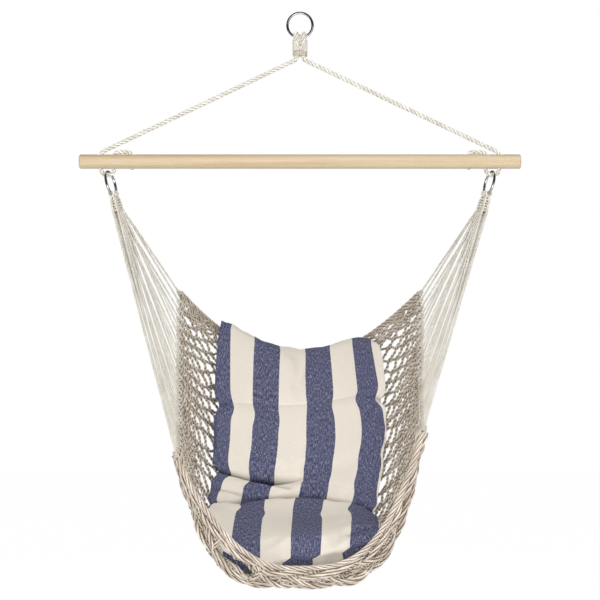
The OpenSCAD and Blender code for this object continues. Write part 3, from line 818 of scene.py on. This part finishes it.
def strand_path(m):
    """Strand m runs across the net between rows m and m + 1."""
    path = []
    for i in range(NET_COLS + 1):
        upper = (m + i) % 2 == 0
        row = m if upper else m + 1
        sign = 1 if upper else -1
        at_edge = i in (0, NET_COLS)
        shift = 0 if at_edge else SLACK
        for c, lift in HOOK_PLACES:
            if not 0 <= i + c <= NET_COLS:
                continue
            hook = 0 if at_edge else HOOK
            v = row + sign * (abs(c) * (1 + 2 * hook) - hook) + shift * slack[row, i, 1]
            u = i + c + shift * slack[row, i, 0]
            u, v = u / NET_COLS, v / NET_ROWS
            v = parted(u, v, (m + 0.5) / NET_ROWS > GAP_AT[1])
            path.append(sling(u, v) + sling_normal(u, v) * MESH_R * lift * sign)
    return path


NET_PANELS = (
    ("net_back_panel", 0, 12),
    ("net_fold_panel", 12, 24),
    ("net_seat_panel", 24, 36),
    ("net_lip_panel", 36, NET_ROWS),
)
for name, first, end in NET_PANELS:
    panel = wound(name, [strand_path(m) for m in range(first, end)], MESH, NET_TWIST, SEED + first)
    dress(panel, "seat", "net_cotton", "net")


# Borders: a laid rope along each edge, and a flat plait of gathered strands over it
def border_path(row, step):
    path = []
    for n in range(43):
        u = n / 42
        here = sling(u, row)
        path.append(here + (STRAND_R + 0.3 + BORDER_R) * unit(here - sling(u, row + step)))
    return path


def plait_paths(strands, turns, middle, half, lift, depth):
    """Strands that cross each other over and under along the sling's end, as shares v and in millimetres."""
    paths = []
    for n in range(strands):
        path, drift = [], rng.normal(0, 0.25)
        a = 2 * math.pi * (turns * GAP_AT[0] + n / strands) + drift * math.sin(7 * GAP_AT[0] + n)
        above = middle + half * math.sin(a) > GAP_AT[1]
        for k in range(121):
            u = k / 120
            a = 2 * math.pi * (turns * u + n / strands) + drift * math.sin(7 * u + n)
            v = parted(u, middle + half * math.sin(a), above)
            path.append(sling(u, v) + sling_normal(u, v) * (lift + depth * math.cos(3 * a)))
        paths.append(path)
    return paths


back_border = wound("back_border_laid", [border_path(0, 1 / NET_ROWS)], RIM, BORDER_TWIST)
dress(back_border, "seat", "border_cotton", "back_border_rope")
front_border = wound("front_border_laid", [border_path(1, -1 / NET_ROWS)], RIM, BORDER_TWIST)
dress(front_border, "seat", "border_cotton", "front_border_rope")
rim_paths = plait_paths(strands=6, turns=1.7, middle=0.957, half=0.043, lift=-1.5, depth=5.2)
rim = wound("front_rim_plait", rim_paths, RIM, RIM_TWIST)
dress(rim, "seat", "net_cotton")
top_paths = plait_paths(strands=5, turns=5, middle=0.03, half=0.03, lift=0, depth=2.2)
top_plait = wound("back_rim_plait", top_paths, MESH, TOP_TWIST)
dress(top_plait, "seat", "net_cotton")

# Cushion: two panels sewn round their edge, filled, and lying in the sling
PAD_HALF = CUSHION_T / 2
PAD_LIFT = STRAND_R + 0.3 + 0.6 + PAD_HALF
PAD_OVER = 4
# Lines that draw the cushion in: place at its left and right edge, bow, depth at the left and right edge
TUCKS = ((0.267, 0.222, 0.048, 0.3, 0.3), (0.525, 0.462, 0, 0.34, 0.1), (0.565, 0.565, 0.17, 0.34, 0.3))
TUCK_W = 0.03
CORNER_SAG = 44
CUP_TOP, CUP_SEAT, CUP_SKEW = 99, 46, 12
END_DIP, END_SKEW, END_SLIP = 60, 0.45, 18
PAD_COLS = 56
FOLD_ROWS = (0, 0.29, 0.52, 0.6, 1)
ROW_COUNTS = (40, 36, 24, 56)
PAD_ROWS = sum(ROW_COUNTS)


def tuck_line(tuck, q):
    left, right, sag = tuck[:3]
    return mix(left, right, (q + 1) / 2) + sag * q * q


def tuck_depths(q, t):
    return [mix(k[3], k[4], (q + 1) / 2) * math.exp(-(((t - tuck_line(k, q)) / TUCK_W) ** 2)) for k in TUCKS]


def pad_width(q, t):
    drawn = (1 - 0.2 * max(tuck_depths(math.copysign(1, q), t))) * (1 - 0.05 * abs(2 * t - 1) ** 6)
    return CUSHION_W / 2 * drawn * (1 - 0.07 * ease((t - 0.3) / 0.4))


def pad_fill(q, t):
    crown = (1 - abs(q) ** 3.2) ** 0.55 * (1 - abs(2 * t - 1) ** 9) ** 0.55
    stitched, *folds = tuck_depths(q, t)
    return crown * (1 - max(stitched * 0.3 * (1 + q * q), max(folds) * (1 - 0.4 * q * q)))


def pad_point(q, t, height):
    cup = (mix(CUP_TOP, CUP_SEAT, ease(t / 0.8)) - q * CUP_SKEW * ease((t - 0.5) / 0.4)) * abs(q) ** 2.2
    cup += CORNER_SAG * min(q, 0) * (1 - q**4) * ease((t - 0.74) / 0.24)
    down = (END_DIP * (1 + END_SKEW * q) * abs(q) ** 5 + END_SLIP * min(q, 0)) * (1 - ease(t / 0.4))
    s = t * CUSHION_LEN - PAD_OVER + down
    c = centre_line(s) + (PAD_LIFT + cup + height) * inward(s)
    return np.array([q * pad_width(q, t) + 0.75 * hang(t), c[0], c[1]])


# Pleats of the front panel: two ends as shares (q, t), depth, and width in millimetres
PLEATS = (
    ((0.66, 0.955), (0.95, 0.93), 0.6, 4),
    ((0.56, 0.86), (0.5, 0.985), 0.16, 11),
    ((-0.5, 0.512), (-0.1, 0.53), 0.4, 6),
    ((-0.62, 0.6), (-0.98, 0.62), 0.4, 6),
    ((0.8, 0.32), (0.98, 0.28), 0.3, 6),
)


def pleat_at(q, t):
    scale = np.array([CUSHION_W / 2, CUSHION_LEN])
    here, total = np.array([q, t]) * scale, 0
    for start, end, depth, width in PLEATS:
        first, step = np.array(start) * scale, (np.array(end) - start) * scale
        share = min(max(float((here - first) @ step / (step @ step)), 0), 1)
        total += depth * math.exp(-np.linalg.norm(here - first - share * step) / width)
    return total


def crease(q, t):
    """Sharp folds of the front panel, along the same lines as the tucks."""
    stitched, short, long = (abs(t - tuck_line(k, q)) for k in TUCKS)
    fold = 0.85 * math.exp(-long / 0.009) * (0.85 - 0.15 * q)
    fold += 0.85 * math.exp(-short / 0.009) * ease((0.3 - q) / 0.7)
    fold += 0.08 * math.exp(-stitched / 0.004)
    fold += 0.4 * math.exp(-stitched / 0.012) * ease((abs(q) - 0.75) / 0.25)
    return min(0.9, fold + pleat_at(q, t))


# Stripes across the cover, counted from the middle blue one's left edge. At each place along the cushion:
# the count at its middle, the count for half its width, and the extra that its left and right edges hide.
STRIPE_T = (0.05, 0.38, 0.5, 0.57, 0.64, 1.0)
STRIPE_MID = (-0.2, -0.235, -0.14, -0.05, 0.0, 0.08)
STRIPE_HALF = (2.96, 2.84, 2.84, 2.84, 2.84, 2.84)
STRIPE_LEFT = (0.4, 0.9, 0.9, 0.8, 0.7, 0.1)
STRIPE_RIGHT = (0.95, 0.5, 0.4, 0.3, 0.2, 0.1)
# The back panel's stripes lie a little to one side, which shows at the seam
BACK_SHIFT = 0.26
# How far the filling may move the front and the back panel, in metres, and the frames that it has for it
FRONT_REACH, BACK_REACH, FRAMES = 0.005, 0.003, 20


def stripe_count(q, t):
    tables = (STRIPE_MID, STRIPE_HALF, STRIPE_LEFT, STRIPE_RIGHT)
    mid, half, left, right = (float(np.interp(t, STRIPE_T, table)) for table in tables)
    return mid + half * q + (left if q < 0 else right) * q**3


def row_shares():
    """Rows of the cushion's mesh, crowded at its ends and folds."""
    shares = [0.0]
    for start, end, count in zip(FOLD_ROWS, FOLD_ROWS[1:], ROW_COUNTS):
        for k in range(1, count + 1):
            even = k / count
            shares.append(mix(start, end, mix(even, (1 - math.cos(math.pi * even)) / 2, 0.6)))
    return shares


def row_place(q, share):
    """Place along the cushion of a row at q, with the rows at the folds on their lines."""
    return float(np.interp(share, FOLD_ROWS, (0, *(tuck_line(k, q) for k in TUCKS), 1)))


def make_cushion():
    qs = [math.sin(math.pi / 2 * (2 * i / PAD_COLS - 1)) for i in range(PAD_COLS + 1)]
    shares = row_shares()
    points, faces, across, along, front_of, folds, index = [], [], [], [], [], [], {}
    for front in (1, -1):
        for j, row in enumerate(shares):
            for i, q in enumerate(qs):
                t = row_place(q, row)
                rim_here = i in (0, PAD_COLS) or j in (0, PAD_ROWS)
                if rim_here and front < 0:
                    index[front, i, j] = index[1, i, j]
                    continue
                full = pad_fill(q, t) * (PAD_HALF - 1.5)
                height = full * (1 - crease(q, t)) if front > 0 else -full
                index[front, i, j] = len(points)
                points.append(pad_point(q, t, height) * MM)
                across.append((stripe_count(q, t) + (0 if front > 0 else BACK_SHIFT)) * STRIPE)
                along.append(t * CUSHION_LEN * MM)
                front_of.append(front if not rim_here else 0)
                folds.append(crease(q, t) if front > 0 else 0)
    for front in (1, -1):
        for j in range(PAD_ROWS):
            for i in range(PAD_COLS):
                loop = [index[front, a, b] for a, b in ((i, j), (i, j + 1), (i + 1, j + 1), (i + 1, j))]
                faces.append(loop if front > 0 else loop[::-1])
    mesh = bpy.data.meshes.new("cushion")
    mesh.from_pydata([tuple(p) for p in points], [], faces)
    # The fold depth is also kept on the mesh for the cloth's painted shade in its folds
    for name, values in (("across", across), ("along", along), ("fold", folds)):
        mesh.attributes.new(name, "FLOAT", "POINT").data.foreach_set("value", values)
    mesh.materials.append(CLOTH)
    mesh.shade_smooth()
    made = bpy.data.objects.new("cushion", mesh)
    bpy.context.scene.collection.objects.link(made)
    return made, np.array(front_of), np.array(folds)


def inflate(made, front_of, folds):
    """The filling presses the sewn panels out. The seam and the folds stay where they are."""
    start = np.array([v.co for v in made.data.vertices])
    pins = made.vertex_groups.new(name="seam")
    for k in np.flatnonzero((front_of == 0) | (folds > 0.05)):
        pins.add([int(k)], 1.0 if front_of[k] == 0 else min(1.0, 1.2 * float(folds[k])), "REPLACE")
    cloth = made.modifiers.new("filling", "CLOTH")
    cloth.settings.quality = 6
    cloth.settings.mass = 0.3
    cloth.settings.tension_stiffness = 12
    cloth.settings.compression_stiffness = 12
    cloth.settings.bending_stiffness = 0.4
    cloth.settings.use_pressure = True
    cloth.settings.uniform_pressure_force = 4
    cloth.settings.shrink_min = -0.03
    cloth.settings.vertex_group_mass = pins.name
    cloth.settings.effector_weights.gravity = 0
    scene = bpy.context.scene
    for n in range(1, FRAMES + 1):
        scene.frame_set(n)
    graph = bpy.context.evaluated_depsgraph_get()
    moved = np.array([v.co for v in made.evaluated_get(graph).data.vertices])
    made.modifiers.clear()
    scene.frame_set(1)
    made.vertex_groups.clear()
    step = moved - start
    reach = np.where(front_of > 0, FRONT_REACH, BACK_REACH)[:, None]
    length = np.maximum(np.linalg.norm(step, axis=1, keepdims=True), 1e-9)
    moved = start + step * np.minimum(1, reach / length)
    made.data.vertices.foreach_set("co", moved.astype(np.float32).ravel())
    made.data.update()


cushion, panel_of, fold_depth = make_cushion()
inflate(cushion, panel_of, fold_depth)
smooth = cushion.modifiers.new("smooth", "SUBSURF")
smooth.levels = smooth.render_levels = 1
plain_mesh(cushion)
dress(cushion, "cushion", "striped_cover", "cushion_filling", "cushion_front_panel", "cushion_back_panel")


# Stage: pale floor, white surround, soft light and the photograph's camera
ROOM_LIGHT, SEEN_LIGHT, MIRRORED_LIGHT = 0.52, 1.0, 0.06
FLOOR_Z, FLOOR_HALF, FLOOR_GLOW = -1.42, 6, 1.02
CAMERA_AT, LENS, SENSOR = (0, -3.0, -0.498), 99.24, 36
MIDDLE = (0, 0, -0.55)


def ray_mask(nodes, links):
    """1 for rays straight from the camera, 0 for light on surfaces."""
    path = nodes.new("ShaderNodeLightPath")
    both = nodes.new("ShaderNodeMath")
    both.operation = "MAXIMUM"
    links.new(path.outputs["Is Camera Ray"], both.inputs[0])
    links.new(path.outputs["Is Transmission Ray"], both.inputs[1])
    return both.outputs[0]


def make_world():
    world = bpy.data.worlds.new("surround")
    bpy.context.scene.world = world
    world.use_nodes = True
    nodes, links = world.node_tree.nodes, world.node_tree.links
    background = nodes["Background"]
    background.inputs["Color"].default_value = (1, 1, 1, 1)
    strength = nodes.new("ShaderNodeMix")
    links.new(ray_mask(nodes, links), strength.inputs["Factor"])
    strength.inputs[2].default_value = ROOM_LIGHT
    strength.inputs[3].default_value = SEEN_LIGHT
    mirrored_room = nodes.new("ShaderNodeMix")
    links.new(nodes.new("ShaderNodeLightPath").outputs["Is Glossy Ray"], mirrored_room.inputs["Factor"])
    links.new(strength.outputs[0], mirrored_room.inputs[2])
    mirrored_room.inputs[3].default_value = MIRRORED_LIGHT
    links.new(mirrored_room.outputs[0], background.inputs["Strength"])


def make_floor():
    mesh = bpy.data.meshes.new("floor")
    corners = [(x * FLOOR_HALF, y * FLOOR_HALF, FLOOR_Z) for x, y in ((-1, -1), (1, -1), (1, 1), (-1, 1))]
    mesh.from_pydata(corners, [], [(0, 1, 2, 3)])
    floor = bpy.data.objects.new("floor", mesh)
    bpy.context.scene.collection.objects.link(floor)
    f = Finish("pale_floor")
    f.set(Base_Color=(0.75, 0.75, 0.75, 1), Roughness=0.9)
    glow = f.node("ShaderNodeEmission")
    glow.inputs["Color"].default_value = (1, 1, 1, 1)
    glow.inputs["Strength"].default_value = FLOOR_GLOW
    both = f.node("ShaderNodeMixShader")
    f.put(both.inputs[0], f.math("MULTIPLY", ray_mask(f.nodes, f.links), 0.96))
    f.links.new(f.shader.outputs[0], both.inputs[1])
    f.links.new(glow.outputs[0], both.inputs[2])
    f.links.new(both.outputs[0], f.nodes["Material Output"].inputs["Surface"])
    mesh.materials.append(f.material)


def make_lamp(name, place, aim, size, power, mirrored_too=True):
    light = bpy.data.lights.new(name, "AREA")
    light.shape = "SQUARE"
    light.size = size
    light.energy = power
    lamp = bpy.data.objects.new(name, light)
    lamp.location = place
    lamp.visible_glossy = mirrored_too
    lamp.rotation_euler = (Vector(aim) - Vector(place)).to_track_quat("-Z", "Y").to_euler()
    bpy.context.scene.collection.objects.link(lamp)


def make_camera():
    data = bpy.data.cameras.new("camera")
    data.sensor_width = SENSOR
    data.lens = LENS
    camera = bpy.data.objects.new("camera", data)
    camera.location = CAMERA_AT
    camera.rotation_euler = (math.radians(90), 0, 0)
    bpy.context.scene.collection.objects.link(camera)
    bpy.context.scene.camera = camera


make_world()
make_floor()
make_lamp("key", (-1.2, -2.8, -0.65), MIDDLE, 1.5, 23, False)
make_lamp("fill", (1.8, -2.4, -0.7), MIDDLE, 2.0, 15)
make_lamp("low", (0.3, -2.2, -1.3), (0, 0, -0.3), 1.4, 26)
make_lamp("back", (-0.5, 2.9, -0.5), MIDDLE, 2.0, 22, False)
make_lamp("seat", (0.2, -2.1, 1.3), (0, -0.15, -0.85), 1.2, 29, False)
make_camera()
bpy.context.scene.view_settings.view_transform = "Standard"
